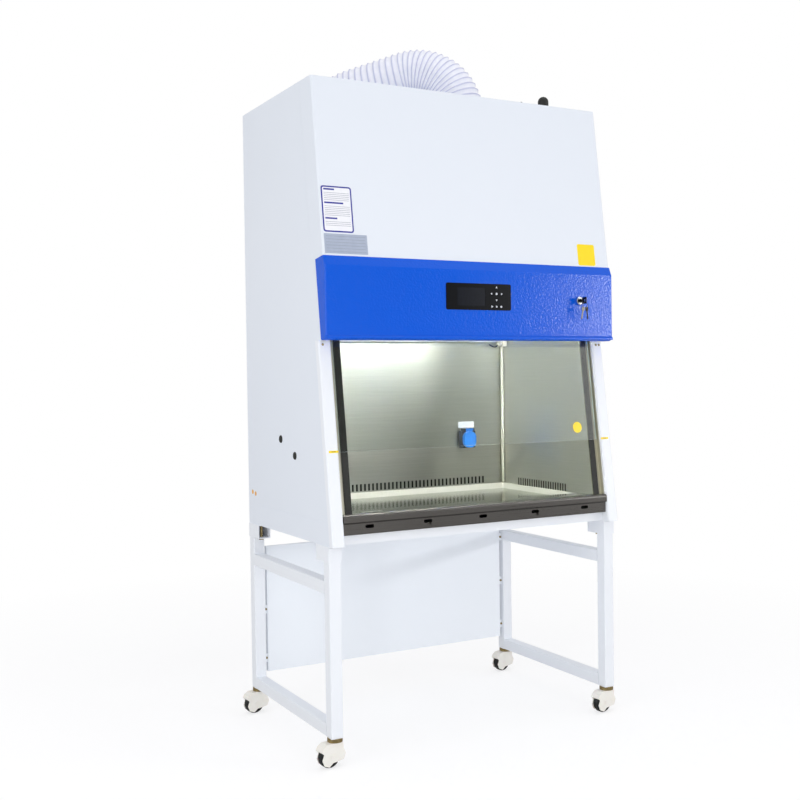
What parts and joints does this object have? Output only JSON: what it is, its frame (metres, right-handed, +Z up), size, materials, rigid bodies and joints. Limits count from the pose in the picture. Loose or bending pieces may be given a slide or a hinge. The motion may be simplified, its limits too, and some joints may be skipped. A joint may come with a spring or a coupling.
{
  "type": "biosafety cabinet",
  "caption": "Ducted biosafety cabinet on a wheeled stand, with a leaning glass sash, stainless work chamber, keyed display fascia and a round exhaust duct off its roof.",
  "frame": {"origin": "middle of the whole part's footprint, on the floor under the wheels", "axes": "+Z up, front towards -Y, +X to the right of someone facing the front"},
  "size_m": [1.151, 0.9585, 2.4022],
  "materials": {
    "white_enamel": "semi-gloss powder coat",
    "pale_blue_enamel": "satin paint",
    "blue_enamel": "gloss orange-peel paint",
    "stainless": "brushed",
    "zinc": "zinc plated",
    "bright_metal": "polished",
    "galvanised": "matt sheet",
    "black_rubber": "matt",
    "wheel_black": "moulded",
    "glass": "polished",
    "display_plastic": "smooth",
    "key_plastic": "smooth",
    "dark_plastic": "smooth",
    "blue_plastic": "smooth",
    "cream_plastic": "smooth",
    "filter_media": "pleated glass-fibre paper in a frame",
    "duct_pvc": "ribbed flexible wall"
  },
  "bodies": {
    "cabinet": {"stand_left_frame": "white_enamel", "stand_right_frame": "white_enamel", "stand_back_panel": "pale_blue_enamel", "saddle_brackets": "white_enamel", "stand_screws": "zinc", "caster_collars": "zinc", "base_pan": "white_enamel", "right_side_panel": "white_enamel", "left_side_panel": "white_enamel", "rear_cover": "white_enamel", "top_cover": "white_enamel", "service_plugs": "black_rubber", "upper_front_cover": "white_enamel", "front_columns": "white_enamel", "fascia": "blue_enamel", "display_panel": "display_plastic", "key_switch": "bright_metal", "chamber_back_wall": "stainless", "chamber_side_walls": "stainless", "chamber_ceiling": "stainless", "work_tray": "stainless", "armrest": "stainless", "armrest_screws": "zinc", "socket_base": "dark_plastic", "uv_lamp": "cream_plastic", "work_lamp": "cream_plastic", "sash_rails": "stainless", "sash_seals": "black_rubber", "sash_drive_motor": "dark_plastic", "sash_belts": "black_rubber", "supply_filter": "filter_media", "plenum_deck": "galvanised", "blower_housing": "galvanised", "blower_motor": "dark_plastic", "exhaust_filter": "filter_media", "exhaust_collar": "galvanised", "exhaust_duct": "duct_pvc"},
    "fork_front_left": {"caster_front_left_fork": "white_enamel"},
    "wheel_front_left": {"caster_front_left_wheel": "wheel_black"},
    "fork_front_right": {"caster_front_right_fork": "white_enamel"},
    "wheel_front_right": {"caster_front_right_wheel": "wheel_black"},
    "fork_back_left": {"caster_back_left_fork": "white_enamel"},
    "wheel_back_left": {"caster_back_left_wheel": "wheel_black"},
    "fork_back_right": {"caster_back_right_fork": "white_enamel"},
    "wheel_back_right": {"caster_back_right_wheel": "wheel_black"},
    "sash": {"sash_glass": "glass", "sash_top_bar": "galvanised"},
    "drive_shaft": {"sash_drive_shaft": "bright_metal"},
    "idler_shaft": {"belt_idlers": "bright_metal"},
    "impeller": {"blower_impeller": "galvanised"},
    "lid": {"socket_lid": "blue_plastic"},
    "lock_key": {"switch_key": "dark_plastic"},
    "key_up": {"key_up": "key_plastic"},
    "key_left": {"key_left": "key_plastic"},
    "key_enter": {"key_enter": "key_plastic"},
    "key_right": {"key_right": "key_plastic"},
    "key_down": {"key_down": "key_plastic"},
    "key_fan": {"key_fan": "key_plastic"},
    "key_lamp": {"key_lamp": "key_plastic"},
    "key_power": {"key_power": "key_plastic"}
  },
  "joints": [
    {"name": "swivel_front_left", "type": "hinge", "parent": "cabinet", "child": "fork_front_left", "pos_m": [-0.51454, -0.41226, 0.06], "axis": [0, 0, 1], "continuous": true},
    {"name": "roll_front_left", "type": "hinge", "parent": "fork_front_left", "child": "wheel_front_left", "pos_m": [-0.53627, -0.41571, 0.036], "axis": [0.1564, -0.9877, 0], "continuous": true},
    {"name": "swivel_front_right", "type": "hinge", "parent": "cabinet", "child": "fork_front_right", "pos_m": [0.54546, -0.41226, 0.06], "axis": [0, 0, 1], "continuous": true},
    {"name": "roll_front_right", "type": "hinge", "parent": "fork_front_right", "child": "wheel_front_right", "pos_m": [0.52373, -0.41571, 0.036], "axis": [0.1564, -0.9877, 0], "continuous": true},
    {"name": "swivel_back_left", "type": "hinge", "parent": "cabinet", "child": "fork_back_left", "pos_m": [-0.51454, 0.21874, 0.06], "axis": [0, 0, 1], "continuous": true},
    {"name": "roll_back_left", "type": "hinge", "parent": "fork_back_left", "child": "wheel_back_left", "pos_m": [-0.53627, 0.2153, 0.036], "axis": [0.1564, -0.9877, 0], "continuous": true},
    {"name": "swivel_back_right", "type": "hinge", "parent": "cabinet", "child": "fork_back_right", "pos_m": [0.54546, 0.21874, 0.06], "axis": [0, 0, 1], "continuous": true},
    {"name": "roll_back_right", "type": "hinge", "parent": "fork_back_right", "child": "wheel_back_right", "pos_m": [0.52373, 0.2153, 0.036], "axis": [0.1564, -0.9877, 0], "continuous": true},
    {"name": "sash_slide", "type": "slide", "parent": "cabinet", "child": "sash", "axis": [0, 0.1323, 0.9912], "range_m": [-0.191, 0.21]},
    {"name": "drive_turn", "type": "hinge", "parent": "cabinet", "child": "drive_shaft", "pos_m": [0.01546, -0.24203, 1.948], "axis": [1, 0, 0], "range_deg": [-620, 620]},
    {"name": "idler_turn", "type": "hinge", "parent": "cabinet", "child": "idler_shaft", "pos_m": [0.01546, -0.30821, 1.452], "axis": [1, 0, 0], "range_deg": [-620, 620]},
    {"name": "blower_spin", "type": "hinge", "parent": "cabinet", "child": "impeller", "pos_m": [-0.13454, -0.04126, 1.745], "axis": [1, 0, 0], "continuous": true},
    {"name": "lid_hinge", "type": "hinge", "parent": "cabinet", "child": "lid", "pos_m": [0.31146, 0.10244, 0.984], "axis": [-1, 0, 0], "range_deg": [0, 100], "stiffness_Nm_per_rad": 0.03, "springref_deg": -34.38},
    {"name": "lock_turn", "type": "hinge", "parent": "cabinet", "child": "lock_key", "pos_m": [0.42046, -0.43728, 1.442], "axis": [0, 1, 0], "range_deg": [0, 90]},
    {"name": "key_up_press", "type": "slide", "parent": "cabinet", "child": "key_up", "axis": [0, 1, 0], "range_m": [0, 0.0004], "stiffness_N_per_m": 1500, "springref_m": -0.0002},
    {"name": "key_left_press", "type": "slide", "parent": "cabinet", "child": "key_left", "axis": [0, 1, 0], "range_m": [0, 0.0004], "stiffness_N_per_m": 1500, "springref_m": -0.0002},
    {"name": "key_enter_press", "type": "slide", "parent": "cabinet", "child": "key_enter", "axis": [0, 1, 0], "range_m": [0, 0.0004], "stiffness_N_per_m": 1500, "springref_m": -0.0002},
    {"name": "key_right_press", "type": "slide", "parent": "cabinet", "child": "key_right", "axis": [0, 1, 0], "range_m": [0, 0.0004], "stiffness_N_per_m": 1500, "springref_m": -0.0002},
    {"name": "key_down_press", "type": "slide", "parent": "cabinet", "child": "key_down", "axis": [0, 1, 0], "range_m": [0, 0.0004], "stiffness_N_per_m": 1500, "springref_m": -0.0002},
    {"name": "key_fan_press", "type": "slide", "parent": "cabinet", "child": "key_fan", "axis": [0, 1, 0], "range_m": [0, 0.0004], "stiffness_N_per_m": 1500, "springref_m": -0.0002},
    {"name": "key_lamp_press", "type": "slide", "parent": "cabinet", "child": "key_lamp", "axis": [0, 1, 0], "range_m": [0, 0.0004], "stiffness_N_per_m": 1500, "springref_m": -0.0002},
    {"name": "key_power_press", "type": "slide", "parent": "cabinet", "child": "key_power", "axis": [0, 1, 0], "range_m": [0, 0.0004], "stiffness_N_per_m": 1500, "springref_m": -0.0002}
  ],
  "couplings": [
    {"joint": "drive_turn", "follows": "sash_slide", "rad_per_m": -50},
    {"joint": "idler_turn", "follows": "sash_slide", "rad_per_m": -50}
  ]
}
